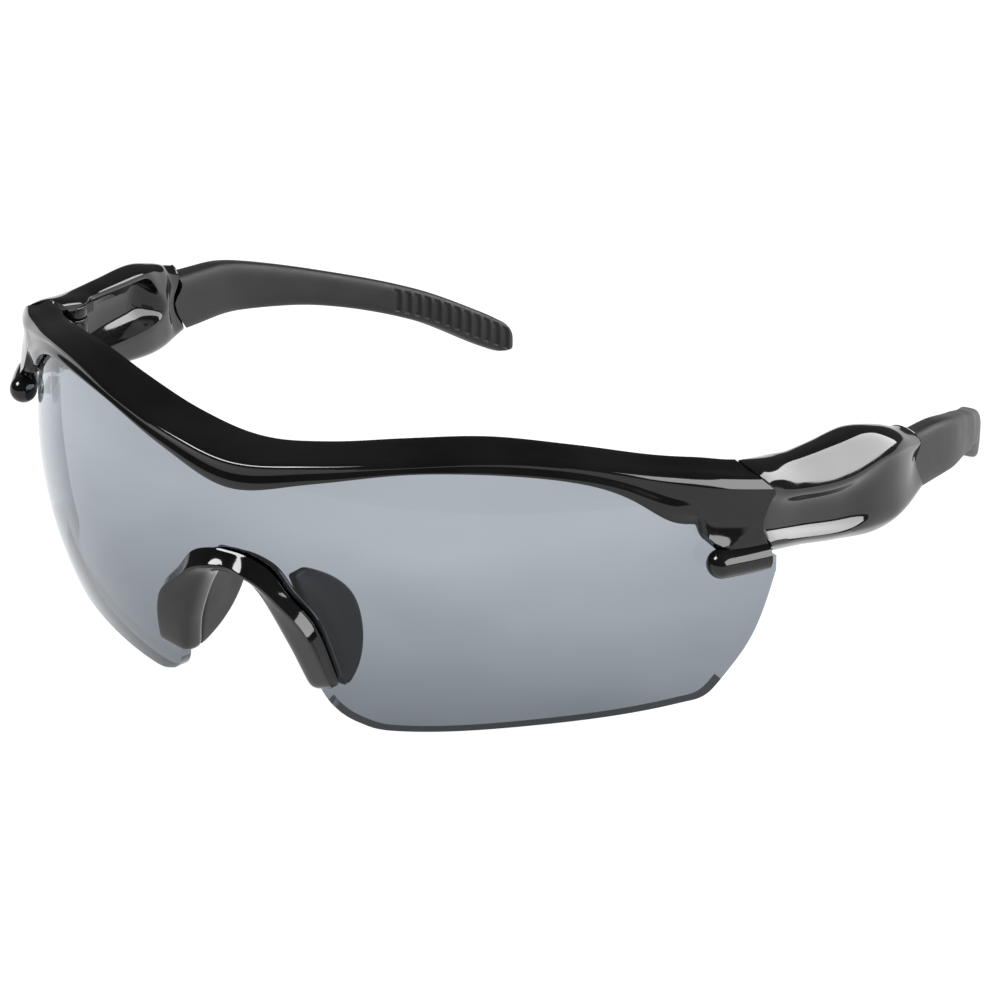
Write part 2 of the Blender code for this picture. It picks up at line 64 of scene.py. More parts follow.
# Angles between which the brow's section turns into the thumb's, and the groove fills up.
THUMB_BLEND = (52.6, 54.6)
SOLID_BLEND = (57.1, 57.9)
SEAM_BLEND_ANGLE = 53.5
HINGE_X = 66.2
HINGE_Y = -32.6
PIN_RADIUS = 0.8
LUG_RADIUS = 2.5
LUG_LOW = 33.4
LUG_HIGH = 38.6
KNUCKLE_HEIGHT = 2.0
EAR_WEB_X = 69.7
ARM_FRONT_Y = -38.6
ARM_REAR_Y = 7.4
TIP_END_Y = 80.8
TIP_END_LENGTH = 2.6
TIP_END_SHARE = 0.22
TIP_GROOVES = 12
TIP_GROOVE_PITCH = 2.1
GROOVE_LAST_Y = 78.2
GROOVE_DEPTH = 0.6
# A grip groove is full inside the first value and gone beyond the second.
GROOVE_HALF_WIDTH = (0.35, 0.75)
GROOVE_HEIGHT_SHARE = (0.55, 0.72)
CORE_FRONT_Y = 2.2
CORE_END_Y = 56.0
CORE_THICKNESS = 1.6
CORE_HEIGHT = 3.2
# The seam between arm and tip slants forward from its outermost point.
SEAM_OUTER_X = 74.4
SEAM_SLANT = 0.85
SEAM_BLEND_Y = (7.7, 16.0)
SEAM_GAP = 0.32
PAD_LOW_Z = 5.8
PAD_HIGH_Z = 24.4
PAD_ROOT_Y = -70.0
PAD_REACH = 9.3
PAD_TOP_X = 8.6
PAD_TOP_Z = 24.0
PAD_SPLAY = 0.33
PAD_THICKNESS = 1.6
PAD_SETBACK = 2.1
BRIDGE_END_ANGLE = 9.7
BRIDGE_PACE = 0.85

# Front tables hold (angle from straight ahead, value) and temple tables hold (y, value).
# Heights that cross the middle start with a mirrored point, so that they are level there.
LENS_LOWER_EDGE = [
    (-4, 24.6), (0, 26.6), (4, 24.6), (8, 14.7), (11, 4.4), (15, 0.7), (19, 0.3), (36, 2.8), (53, 4.5),
    (56, 5.2), (58, 8.6), (61, 15.6), (LENS_END_ANGLE, 25.6),
]
BROW_LOWER_EDGE = [
    (-10, 41.6), (0, 38.6), (10, 41.6), (20, 44.4), (28, 45.1), (36, 44.5), (42, 42.9), (46, 40.5),
    (50, 36.7), (53, 35.9),
]
THUMB_LOWER_EDGE = [(53.5, 33.8), (55, 31.6), (57, 29.2), (61, 28.9)]
BROW_CREASE = [(-10, 44.2), (0, 42.6), (10, 44.2), (20, 45.9), (30, 47.0), (40, 46.0), (50, 43.2), (61, 40.4)]
BROW_TOP = [
    (-10, 45.5), (0, 44.0), (10, 45.5), (20, 47.7), (30, 48.9), (40, 47.6), (50, 45.4), (61, 43.9),
]
BROW_TOP_RADIUS = [(0, 68.6), (15, 69.2), (30, 70.2), (45, 71.6), (61, 75.4)]
BROW_FACE_DEPTH = [(0, 1.7), (20, 1.4), (40, 1.5), (50, 2.4), (56, 3.9), (61, 5.0)]
GROOVE_TOP = [(-10, 43.5), (0, 41.6), (10, 43.5), (20, 45.5), (30, 46.4), (40, 45.2), (50, 42.7), (61, 40.6)]
INNER_LIP = [
    (-10, 42.1), (0, 40.0), (10, 42.1), (20, 44.2), (30, 45.0), (40, 43.8), (50, 39.0), (57, 31.6),
    (61, 29.9),
]
ARM_TOP = [
    (ARM_FRONT_Y, 43.9), (-30, 42.1), (-20, 41.2), (-10, 40.5), (-4, 38.9), (0, 37.3), (ARM_REAR_Y, 34.9),
]
ARM_BOTTOM = [(ARM_FRONT_Y, 29.4), (-30, 27.4), (-20, 24.8), (-10, 22.9), (-3, 22.5), (ARM_REAR_Y, 23.9)]
ARM_TOP_X = [(ARM_FRONT_Y, 66.0), (-30, 69.2), (-20, 70.9), (-10, 72.0), (ARM_REAR_Y, 72.4)]
ARM_BOTTOM_X = [(ARM_FRONT_Y, 69.4), (-20, 71.2), (-10, 73.5), (ARM_REAR_Y, 73.2)]
ARM_OUTER = [(ARM_FRONT_Y, 70.9), (-30, 72.2), (-20, 74.0), (-10, 75.1), (-4, 75.4), (ARM_REAR_Y, 74.2)]
ARM_INNER = [(ARM_FRONT_Y, 64.0), (-31, 64.4), (-27, 66.0), (-10, 67.4), (0, 69.0), (ARM_REAR_Y, 69.6)]
# Lines along the temple arm as shares of its height, down from its top.
SHOULDER_SHARE = 0.11
RIDGE_SHARE = [(ARM_FRONT_Y, 0.30), (-20, 0.35), (0, 0.20), (ARM_REAR_Y, 0.24)]
VALLEY_SHARE = 0.16
LOW_EDGE_SHARE = [(ARM_FRONT_Y, 0.72), (-20, 0.76), (0, 0.62), (ARM_REAR_Y, 0.63)]
LOW_RIDGE_SHARE = 0.86
VALLEY_DEPTH = [(ARM_FRONT_Y, 1.5), (-20, 1.6), (-8, 0.1), (ARM_REAR_Y, 0.2)]
FACE_SLOPE = 0.48
LOW_STRIP = [(ARM_FRONT_Y, 1.5), (-20, 1.5), (-10, 0.5), (ARM_REAR_Y, 0.3)]
SILL_SHARE = [(ARM_FRONT_Y, 0.15), (-20, 0.29), (-10, 0.35)]
ARM_WALL = 3.4
HINGE_ROOM = 4.8
# Stretches of y where the room for the hinge ends and where the pocket closes.
HINGE_ROOM_END = (-31.4, -28.8)
POCKET_END = (-10.5, -4.0)
# The arm's front and rear stretches that bend to the wavy seams.
FRONT_WARP_END_Y = -29.0
REAR_WARP_START_Y = -4.0
TIP_CENTRE = [(ARM_REAR_Y, 29.3), (20, 27.2), (40, 21.6), (60, 13.6), (74, 5.4), (TIP_END_Y, 1.2)]
TIP_HEIGHT = [(ARM_REAR_Y, 10.9), (20, 9.6), (40, 7.0), (60, 6.6), (74, 7.1), (TIP_END_Y, 6.2)]
TIP_OUTER = [(ARM_REAR_Y, 74.2), (20, 73.7), (30, 71.4), (40, 68.5), (60, 60.8), (TIP_END_Y, 51.8)]
TIP_THICKNESS = [(ARM_REAR_Y, 4.8), (20, 4.4), (40, 4.2), (70, 4.6), (TIP_END_Y, 4.4)]
# The bridge's section, by share of the way down the nose cut.
BRIDGE_FLANGE = [(0, 2.0), (0.2, 2.2), (0.35, 2.9), (0.5, 3.2), (0.7, 4.8), (1, 3.9)]
BRIDGE_CREST = [(0, -0.3), (0.25, -0.1), (0.5, 1.6), (0.7, 3.6), (1, 2.9)]
BRIDGE_RISE = [(0, 1.6), (0.2, 2.1), (0.5, 1.9), (0.7, 2.1), (1, 1.5)]
# The wavy seams: the frame's end as (height, angle), and the tip's start as (height, y).
FRAME_SEAM = [(27, 60.8), (32, 60.9), (35, 59.1), (39, 61.8), (44, 58.6)]
TIP_SEAM = [(23, 7.9), (30, 3.8), (33, 6.2), (36, 3.4)]
THUMB_RIDGE = [(53, 31.0), (57, 32.9), (61, 33.9)]
THUMB_BAR_START = 53.6
THUMB_BAR_END = 60.5
THUMB_BAR_RADIUS = 2.3
THUMB_BAR_Z = 29.9
# How sharp each line of the brow frame's section stays, by profile point.
FRAME_HARD = {0: 0.8, 1: 0.5, 5: 0.55, 6: 0.35, 9: 0.6, 10: 0.3, 13: 0.6, 14: 0.7, 16: 0.9, 17: 0.9}
BRIDGE_HARD = {0: 0.9, 1: 0.9, 2: 0.8, 3: 0.5, 4: 0.5, 6: 0.75, 7: 0.35, 10: 0.3, 12: 0.3, 14: 0.8}
ARM_HARD = {4: 0.2, 6: 0.45, 9: 0.6, 10: 0.3, 16: 0.5, 19: 0.5}

# ---- stage (metres, watts and degrees) ----
FLOOR_HALF_SIZE = 6.0
FLOOR_GLOW = 0.96
SKY_STRENGTH = 0.08
LIGHT_TARGET = Vector((0, -0.02, 0.03))
# name, direction, distance, width, height, power
SOFTBOXES = [
    ("right_back", (0.79, 0.29, 0.39), 1.3, 2.7, 0.9, 68.0),
    ("left_front", (-0.49, -0.46, 0.73), 2.2, 0.95, 0.75, 48.0),
]
# The camera was solved by least squares from points in the photograph, outside of this script.
CAMERA_PLACE = (0.28088, -0.45130, 0.23852)
CAMERA_TILT = 66.55
CAMERA_TURN = 32.0
CAMERA_FOCAL_LENGTH = 121.86
CAMERA_SENSOR = 36.0


# ---- curves and surfaces ----
def curve(points, at):
    """Smooth value through (position, value) points, flat beyond both ends."""
    if at <= points[0][0]:
        return points[0][1]
    if at >= points[-1][0]:
        return points[-1][1]
    i = max(k for k in range(len(points) - 1) if points[k][0] <= at)
    slopes = []
    for k in (i, i + 1):
        before = points[max(k - 1, 0)]
        after = points[min(k + 1, len(points) - 1)]
        slopes.append((after[1] - before[1]) / (after[0] - before[0]))
    span = points[i + 1][0] - points[i][0]
    t = (at - points[i][0]) / span
    start = (2 * t ** 3 - 3 * t ** 2 + 1) * points[i][1] + (t ** 3 - 2 * t ** 2 + t) * span * slopes[0]
    end = (3 * t ** 2 - 2 * t ** 3) * points[i + 1][1] + (t ** 3 - t ** 2) * span * slopes[1]
    return start + end


def steps(low, high, count):
    return [low + (high - low) * k / (count - 1) for k in range(count)]


def ease(low, high, at):
    """0 below low, 1 above high, and smooth between."""
    t = min(1.0, max(0.0, (at - low) / (high - low)))
    return t * t * (3 - 2 * t)


def around(angle, radius, z):
    """A point at an angle from straight ahead, positive towards +X."""
    a = math.radians(angle)
    return Vector((radius * math.sin(a), -radius * math.cos(a), z))


def lens_radius(z):
    """Outer radius of the lens surface at a height."""
    drop = math.sqrt(LENS_CROWN_RADIUS ** 2 - (z - LENS_EQUATOR_Z) ** 2)
    return LENS_RADIUS - LENS_CROWN_RADIUS + drop


# ---- mesh tools ----
def loft(bm, rings, hard=None, ring_crease=None):
    """Closed tube of quads through rings, capped at both ends. hard creases profile points' lines."""
    crease = bm.edges.layers.float.get("crease_edge") or bm.edges.layers.float.new("crease_edge")
    rows = [[bm.verts.new(p) for p in ring] for ring in rings]
    count = len(rows[0])
    for a, b in zip(rows, rows[1:]):
        for k in range(count):
            bm.faces.new((a[k], a[(k + 1) % count], b[(k + 1) % count], b[k]))
    bm.faces.new(list(reversed(rows[0])))
    bm.faces.new(rows[-1])
    for k, value in (hard or {}).items():
        for a, b in zip(rows, rows[1:]):
            bm.edges.get((a[k], b[k]))[crease] = value
    for i, value in (ring_crease or {}).items():
        row = rows[i]
        for k in range(count):
            bm.edges.get((row[k], row[(k + 1) % count]))[crease] = value
    return rows


def new_mesh(name, build):
    """A mesh made by build(bm) in millimetres, with its faces turned outwards."""
    bm = bmesh.new()
    build(bm)
    bmesh.ops.recalc_face_normals(bm, faces=bm.faces)
    mesh = bpy.data.meshes.new(name)
    bm.to_mesh(mesh)
    bm.free()
    return mesh


def evaluated(obj, name):
    bpy.context.view_layer.update()
    graph = bpy.context.evaluated_depsgraph_get()
    mesh = bpy.data.meshes.new_from_object(obj.evaluated_get(graph))
    mesh.name = name
    bpy.data.objects.remove(obj)
    return mesh


def smoothed(mesh, level):
    """The mesh after Catmull-Clark subdivision."""
    obj = bpy.data.objects.new("cage", mesh)
    bpy.context.scene.collection.objects.link(obj)
    modifier = obj.modifiers.new("smooth", "SUBSURF")
    modifier.levels = level
    modifier.render_levels = level
    return evaluated(obj, mesh.name)


def combine(mesh, others, operation):
    """Union with, or difference from, other closed meshes by exact Booleans."""
    obj = bpy.data.objects.new("blank", mesh)
    bpy.context.scene.collection.objects.link(obj)
    tools = []
    for other in others:
        tool = bpy.data.objects.new("tool", other)
        bpy.context.scene.collection.objects.link(tool)
        tools.append(tool)
        boolean = obj.modifiers.new("boolean", "BOOLEAN")
        boolean.operation = operation
        boolean.object = tool
        boolean.solver = "EXACT"
    result = evaluated(obj, mesh.name)
    for tool in tools:
        bpy.data.objects.remove(tool)
    return result


def mirrored(mesh):
    copy = mesh.copy()
    bm = bmesh.new()
    bm.from_mesh(copy)
    bmesh.ops.scale(bm, verts=bm.verts, vec=(-1, 1, 1))
    bmesh.ops.reverse_faces(bm, faces=bm.faces)
    bm.to_mesh(copy)
    bm.free()
    return copy


def piece(mesh, name, body, material, nodes, sharp=40.0):
    """Scale a millimetre mesh to metres and add it as a piece that rides on a body."""
    bm = bmesh.new()
    bm.from_mesh(mesh)
    bmesh.ops.scale(bm, verts=bm.verts, vec=(MM, MM, MM))
    bmesh.ops.recalc_face_normals(bm, faces=bm.faces)
    bm.to_mesh(mesh)
    bm.free()
    mesh.shade_smooth()
    mesh.set_sharp_from_angle(angle=math.radians(sharp))
    mesh.materials.clear()
    mesh.materials.append(material)
    obj = bpy.data.objects.new(name, mesh)
    bpy.context.scene.collection.objects.link(obj)
    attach(obj, body)
    if nodes:
        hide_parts(*nodes)
    return obj


def turned(profile, x, y, sides=48):
    """A solid of revolution about an upright axis through x, y."""
    def build(bm):
        rings = []
        for r, z in profile:
            rings.append([
                (x + r * math.cos(2 * math.pi * k / sides), y + r * math.sin(2 * math.pi * k / sides), z)
                for k in range(sides)
            ])
        loft(bm, rings)
    return new_mesh("turned", build)


def barrel(radius, low, high, x, y, edge=0.25):
    """A cylinder with small rounded edges."""
    return turned([
        (radius - edge, low), (radius - edge * 0.3, low + edge * 0.3), (radius, low + edge),
        (radius, high - edge), (radius - edge * 0.3, high - edge * 0.3), (radius - edge, high),
    ], x, y)


# ---- materials ----
def shader_nodes(name):
    material = bpy.data.materials.new(name)
    material.use_nodes = True
    nodes = material.node_tree.nodes
    return material, nodes, material.node_tree.links, nodes["Principled BSDF"]


def noise(nodes, links, scale, detail, roughness=0.5, stretch=(1, 1, 1)):
    """Noise in object space; scale counts features per metre."""
    coords = nodes.new("ShaderNodeTexCoord")
    mapping = nodes.new("ShaderNodeMapping")
    mapping.inputs["Scale"].default_value = stretch
    texture = nodes.new("ShaderNodeTexNoise")
    texture.inputs["Scale"].default_value = scale
    texture.inputs["Detail"].default_value = detail
    texture.inputs["Roughness"].default_value = roughness
    links.new(coords.outputs["Object"], mapping.inputs["Vector"])
    links.new(mapping.outputs["Vector"], texture.inputs["Vector"])
    return texture


def ranged(nodes, links, source, low, high, from_low=0.3, from_high=0.7):
    """source spread over low to high."""
    node = nodes.new("ShaderNodeMapRange")
    node.inputs["From Min"].default_value = from_low
    node.inputs["From Max"].default_value = from_high
    node.inputs["To Min"].default_value = low
    node.inputs["To Max"].default_value = high
    links.new(source, node.inputs["Value"])
    return node.outputs["Result"]


def ramp(nodes, links, source, stops):
    node = nodes.new("ShaderNodeValToRGB")
    elements = node.color_ramp.elements
    elements[0].position = stops[0][0]
    elements[0].color = (*stops[0][1], 1)
    elements[1].position = stops[-1][0]
    elements[1].color = (*stops[-1][1], 1)
    for position, colour in stops[1:-1]:
        elements.new(position).color = (*colour, 1)
    links.new(source, node.inputs["Fac"])
    return node.outputs["Color"]


def bumped(nodes, links, shader, height, strength, distance):
    bump = nodes.new("ShaderNodeBump")
    bump.inputs["Strength"].default_value = strength
    bump.inputs["Distance"].default_value = distance
    links.new(height, bump.inputs["Height"])
    links.new(bump.outputs["Normal"], shader.inputs["Normal"])


def gloss_black():
    """Polished moulded nylon: near-black, with faint flow waves and an uneven polish."""
    material, nodes, links, shader = shader_nodes("gloss_black")
    cloud = noise(nodes, links, 90, 4)
    blacks = [(0.35, (0.0026, 0.0026, 0.0028)), (0.7, (0.005, 0.005, 0.0054))]
    links.new(ramp(nodes, links, cloud.outputs["Fac"], blacks), shader.inputs["Base Color"])
    smear = noise(nodes, links, 260, 6, 0.6)
    links.new(ranged(nodes, links, smear.outputs["Fac"], 0.035, 0.085), shader.inputs["Roughness"])
    wave = noise(nodes, links, 55, 2)
    bumped(nodes, links, shader, wave.outputs["Fac"], 0.12, 0.0006)
    shader.inputs["IOR"].default_value = 1.44
    return material


def matte_rubber():
    """Soft matte rubber: charcoal, fine moulded grain and a dusty sheen."""
    material, nodes, links, shader = shader_nodes("matte_rubber")
    cloud = noise(nodes, links, 140, 5)
    charcoals = [(0.3, (0.0045, 0.0047, 0.005)), (0.75, (0.0085, 0.0087, 0.0092))]
    links.new(ramp(nodes, links, cloud.outputs["Fac"], charcoals), shader.inputs["Base Color"])
    links.new(ranged(nodes, links, cloud.outputs["Fac"], 0.42, 0.56), shader.inputs["Roughness"])
    grain = noise(nodes, links, 5200, 3, 0.6)
    bumped(nodes, links, shader, grain.outputs["Fac"], 0.35, 0.00006)
    shader.inputs["IOR"].default_value = 1.32
    shader.inputs["Sheen Weight"].default_value = 0.02
    shader.inputs["Sheen Roughness"].default_value = 0.5
    return material


def core_nylon():
    material, nodes, links, shader = shader_nodes("core_nylon")
    cloud = noise(nodes, links, 300, 4)
    links.new(
        ramp(nodes, links, cloud.outputs["Fac"], [(0.3, (0.05, 0.05, 0.052)), (0.75, (0.075, 0.075, 0.078))]),
        shader.inputs["Base Color"],
    )
    links.new(ranged(nodes, links, cloud.outputs["Fac"], 0.38, 0.52), shader.inputs["Roughness"])
    bumped(nodes, links, shader, cloud.outputs["Fac"], 0.2, 0.0001)
    return material


def pin_steel():
    """Bright turned steel with fine rings."""
    material, nodes, links, shader = shader_nodes("pin_steel")
    rings = noise(nodes, links, 1800, 3, 0.6, (0.15, 0.15, 3.0))
    links.new(
        ramp(nodes, links, rings.outputs["Fac"], [(0.3, (0.48, 0.49, 0.5)), (0.7, (0.62, 0.62, 0.63))]),
        shader.inputs["Base Color"],
    )
    links.new(ranged(nodes, links, rings.outputs["Fac"], 0.2, 0.36), shader.inputs["Roughness"])
    bumped(nodes, links, shader, rings.outputs["Fac"], 0.15, 0.00004)
    shader.inputs["Metallic"].default_value = 1.0
    return material


def smoke_lens(name, clear, dark):
    """Smoke-grey polycarbonate: a tint that what is behind shows through, under a polished surface.

    clear and dark are how much light one wall passes where the tint is weakest and strongest.
    """
    material, nodes, links, shader = shader_nodes(name)
    nodes.remove(shader)
    cloud = noise(nodes, links, 17, 3, 0.55, (1.0, 1.0, 1.6))
    coords = nodes.new("ShaderNodeTexCoord")
    split = nodes.new("ShaderNodeSeparateXYZ")
    links.new(coords.outputs["Object"], split.inputs["Vector"])
    total = nodes.new("ShaderNodeMath")
    links.new(ranged(nodes, links, split.outputs["Z"], 0.0, 0.8, 0.0, 0.036), total.inputs[0])
    links.new(ranged(nodes, links, cloud.outputs["Fac"], 0.0, 0.3), total.inputs[1])
    tint = nodes.new("ShaderNodeBsdfTransparent")
    links.new(ramp(nodes, links, total.outputs["Value"], [(0.0, dark), (1.0, clear)]), tint.inputs["Color"])
    glossy = nodes.new("ShaderNodeBsdfGlossy")
    glossy.inputs["Color"].default_value = (0.95, 0.97, 1.0, 1)
    links.new(ranged(nodes, links, cloud.outputs["Fac"], 0.015, 0.05), glossy.inputs["Roughness"])
    mix = nodes.new("ShaderNodeMixShader")
    links.new(surface_mirror(nodes, links), mix.inputs["Fac"])
    links.new(tint.outputs["BSDF"], mix.inputs[1])
    links.new(glossy.outputs["BSDF"], mix.inputs[2])
    links.new(mix.outputs["Shader"], nodes["Material Output"].inputs["Surface"])
    return material


def surface_mirror(nodes, links):
    """Share of light that polycarbonate mirrors, alike on both of its faces (Schlick's formula)."""
    weight = nodes.new("ShaderNodeLayerWeight")
    weight.inputs["Blend"].default_value = 0.5
    power = nodes.new("ShaderNodeMath")
    power.operation = "POWER"
    power.inputs[1].default_value = 5.0
    links.new(weight.outputs["Facing"], power.inputs[0])
    return ranged(nodes, links, power.outputs["Value"], POLYCARBONATE_MIRROR, 1.0, 0.0, 1.0)


def floor_pale():
    """Pale sheet with a little glow of its own, so that it stays evenly white."""
    material, nodes, links, shader = shader_nodes("pale_floor")
    grain = noise(nodes, links, 40, 2)
    links.new(
        ramp(nodes, links, grain.outputs["Fac"], [(0.3, (0.10, 0.10, 0.10)), (0.7, (0.12, 0.12, 0.12))]),
        shader.inputs["Base Color"],
    )
    shader.inputs["Roughness"].default_value = 0.9
    shader.inputs["Specular IOR Level"].default_value = 0.0
    shader.inputs["Emission Color"].default_value = (1, 1, 1, 1)
    shader.inputs["Emission Strength"].default_value = FLOOR_GLOW
    return material


# ---- lens ----
def lens_columns():
    half = steps(0.0, 11.0, 45) + steps(11.4, 54.3, 70)
    half += steps(54.7, 62.0, 26) + steps(62.15, LENS_END_ANGLE, 9)
    return [-a for a in reversed(half[1:])] + half


def lens_edges(angle):
    """Lowest and highest height of the lens at an angle."""
    a = abs(angle)
    low = curve(LENS_LOWER_EDGE, a)
    high = curve(GROOVE_TOP, a) - GAP
    step = ease(LENS_TAB_ANGLE - LENS_STEP_BLEND, LENS_TAB_ANGLE + LENS_STEP_BLEND, a)
    return low, high + (LENS_STEP_Z - high) * step


def lens_mesh():
    """One barrel-curved sheet with a small bevel round its rim."""
    shares = [0.0] + steps(0.012, 0.988, 26) + [1.0]
    def build(bm):
        outer = []
        inner = []
        columns = lens_columns()
        for angle in columns:
            low, high = lens_edges(angle)
            out_row = []
            in_row = []
            for t in shares:
                z = low + (high - low) * t
                out_row.append(bm.verts.new(around(angle, lens_radius(z), z)))
                in_row.append(bm.verts.new(around(angle, lens_radius(z) - LENS_THICKNESS, z)))
            outer.append(out_row)
            inner.append(in_row)
        for i in range(len(columns) - 1):
            for k in range(len(shares) - 1):
                bm.faces.new((outer[i][k], outer[i][k + 1], outer[i + 1][k + 1], outer[i + 1][k]))
                bm.faces.new((inner[i][k], inner[i + 1][k], inner[i + 1][k + 1], inner[i][k + 1]))
        for i in range(len(columns) - 1):
            bm.faces.new((outer[i][0], outer[i + 1][0], inner[i + 1][0], inner[i][0]))
            bm.faces.new((outer[i][-1], inner[i][-1], inner[i + 1][-1], outer[i + 1][-1]))
        for k in range(len(shares) - 1):
            bm.faces.new((outer[0][k], inner[0][k], inner[0][k + 1], outer[0][k + 1]))
            bm.faces.new((outer[-1][k], outer[-1][k + 1], inner[-1][k + 1], inner[-1][k]))
        rim = [e for e in bm.edges if e.calc_face_angle(0.0) > 1.0]
        bmesh.ops.recalc_face_normals(bm, faces=bm.faces)
        bmesh.ops.bevel(bm, geom=rim, offset=LENS_BEVEL, segments=2, affect="EDGES", profile=0.5)
    return new_mesh("lens", build)


def paint_rim_shade(mesh):
    """Gives the bevel between the lens's front and its rim the second, darker material, painted shade for the
    dark line along the lens's edge.
    """
    for face in mesh.polygons:
        x, y, z = face.center / MM
        flat = math.hypot(x, y)
        rise = (z - LENS_EQUATOR_Z) / LENS_CROWN_RADIUS
        level = math.sqrt(1 - rise * rise)
        outward = Vector((x / flat * level, y / flat * level, rise))
        if BEVEL_FACING[0] < face.normal.dot(outward) < BEVEL_FACING[1]:
            face.material_index = 1


# ---- brow frame ----
def outer_lip(angle):
    """Height of the frame's lower edge: the brow's, then the thumb's beyond its angle."""
    if angle > THUMB_ANGLE:
        return curve(THUMB_LOWER_EDGE, angle)
    return curve(BROW_LOWER_EDGE, angle)


def frame_section(angle):
    """Inverted U over the lens edge: outer face, crease, sloping top, back and inner lip."""
    a = abs(angle)
    side = 1 if angle >= 0 else -1
    low = outer_lip(a)
    crease = curve(BROW_CREASE, a)
    top = curve(BROW_TOP, a)
    back = curve(BROW_TOP_RADIUS, a)
    face = curve(BROW_FACE_DEPTH, a)
    lip = curve(INNER_LIP, a)
    groove = curve(GROOVE_TOP, a)
    groove += (lip + 0.6 - groove) * ease(*SOLID_BLEND, a)
    inside = lens_radius(lip) - LENS_THICKNESS - GAP
    roof_in = lens_radius(groove) - LENS_THICKNESS - GAP
    tab = ease(*THUMB_BLEND, a)
    chamfer = 0.35 + 2.6 * ease(40.0, 60.0, a)
    ridge = low + 0.34 * (crease - low)
    ridge += (curve(THUMB_RIDGE, a) - ridge) * tab
    belly = low + 0.14 * (crease - low)
    belly += (low + 2.0 - belly) * tab
    width = 1.15 + 0.9 * tab
    profile = [
        (lens_radius(low) + GAP, low + 0.12),
        (lens_radius(low) + width, low),
        (lens_radius(belly) + width + 0.2 + 1.25 * tab, belly),
        (lens_radius(ridge) + 0.75 * face + 0.25 + 0.2 * tab, ridge),
        (lens_radius(crease) + 0.92 * face, low + 0.66 * (crease - low)),
        (lens_radius(crease) + face + 0.1, crease - 0.35),
        (lens_radius(crease) + face - 0.36 * chamfer, crease + 0.66 * chamfer),
        (0.5 * (lens_radius(crease) + face) + 0.5 * back, top - 0.34 * (top - crease)),
        (back + 1.7, top - 0.08),
        (back + 0.6, top),
        (back + 0.05, top - 0.6),
        (min(back - 0.1, roof_in - GROOVE_WALL), top - 1.7),
        (inside - GROOVE_WALL, lip + 0.6),
        (inside - GROOVE_WALL + 0.2, lip),
        (inside, lip + 0.1),
        (lens_radius((lip + groove) / 2) - LENS_THICKNESS - GAP, (lip + groove) / 2),
        (roof_in, groove),
        (lens_radius(groove) + GAP, groove),
        (lens_radius((low + groove) / 2) + GAP, (low + groove) / 2),
    ]
    points = []
    for r, z in profile:
        seam = curve(FRAME_SEAM, z)
        share = ease(SEAM_BLEND_ANGLE, FRAME_END_ANGLE, a)
        points.append(around(side * (a + share * (seam - FRAME_END_ANGLE)), r, z))
    return points


def frame_mesh():
    half = steps(0.0, 44.0, 23) + [46.0, 48.0, 49.8, 51.4, 52.5, 52.95, 53.3, 53.7, 54.2, 54.9, 55.8]
    half += [56.8, 57.4, 58.0, 58.8, 59.6, 60.15, FRAME_END_ANGLE]
    angles = [-a for a in reversed(half[1:])] + half
    last = len(angles) - 1
    def build(bm):
        loft(bm, [frame_section(a) for a in angles], FRAME_HARD, {0: 0.75, last: 0.75})
    return smoothed(new_mesh("brow_frame", build), 2)


def thumb_bar(side):
    """Rounded rib under the frame's end, which begins in a small knob in front of it."""
    middle = lens_radius(THUMB_BAR_Z) + GAP + THUMB_BAR_RADIUS
    dome = math.degrees(THUMB_BAR_RADIUS / middle)
    stations = []
    for share in steps(0.12, 1.0, 7):
        turn = math.pi / 2 * share
        stations.append((THUMB_BAR_START + dome * (1 - math.cos(turn)), THUMB_BAR_RADIUS * math.sin(turn)))
    straight = steps(THUMB_BAR_START + dome + 0.3, THUMB_BAR_END, 12)
    stations += [(angle, THUMB_BAR_RADIUS) for angle in straight]
    def build(bm):
        loft(bm, [[
            around(side * angle, middle + radius * math.cos(a), THUMB_BAR_Z + radius * math.sin(a))
            for a in steps(0.0, 2 * math.pi * 31 / 32, 32)
        ] for angle, radius in stations])
    return new_mesh("thumb_bar", build)


def hinge_lug(side):
    """The frame's middle hinge lug, on a web that comes from the frame's end."""
    x = side * HINGE_X
    def build(bm):
        loft(bm, [[
            (x - side * 2.2, HINGE_Y, z), (x + side * 2.2, HINGE_Y, z),
            (x + side * 2.0, HINGE_Y - 6.6, z), (x - side * 3.4, HINGE_Y - 6.6, z),
        ] for z in (LUG_LOW + 0.15, LUG_HIGH - 0.15)])
    return [barrel(LUG_RADIUS, LUG_LOW, LUG_HIGH, x, HINGE_Y), new_mesh("web", build)]


# ---- nose bridge and pads ----
def bridge_station(t):
    """Point, outward normal and in-lens direction on the nose cut; t runs 0 at the top to 1."""
    angle = BRIDGE_END_ANGLE * t ** BRIDGE_PACE
    ahead = BRIDGE_END_ANGLE * (t + 0.02) ** BRIDGE_PACE
    z = curve(LENS_LOWER_EDGE, angle)
    z_ahead = curve(LENS_LOWER_EDGE, ahead)
    here = around(angle, lens_radius(z) - LENS_THICKNESS / 2, z)
    there = around(ahead, lens_radius(z_ahead) - LENS_THICKNESS / 2, z_ahead)
    along = (there - here).normalized()
    normal = around(angle, 1.0, 0.0)
    if t == 0.0:
        along = Vector((1, 0, 0))
    return here, normal, normal.cross(along).normalized()


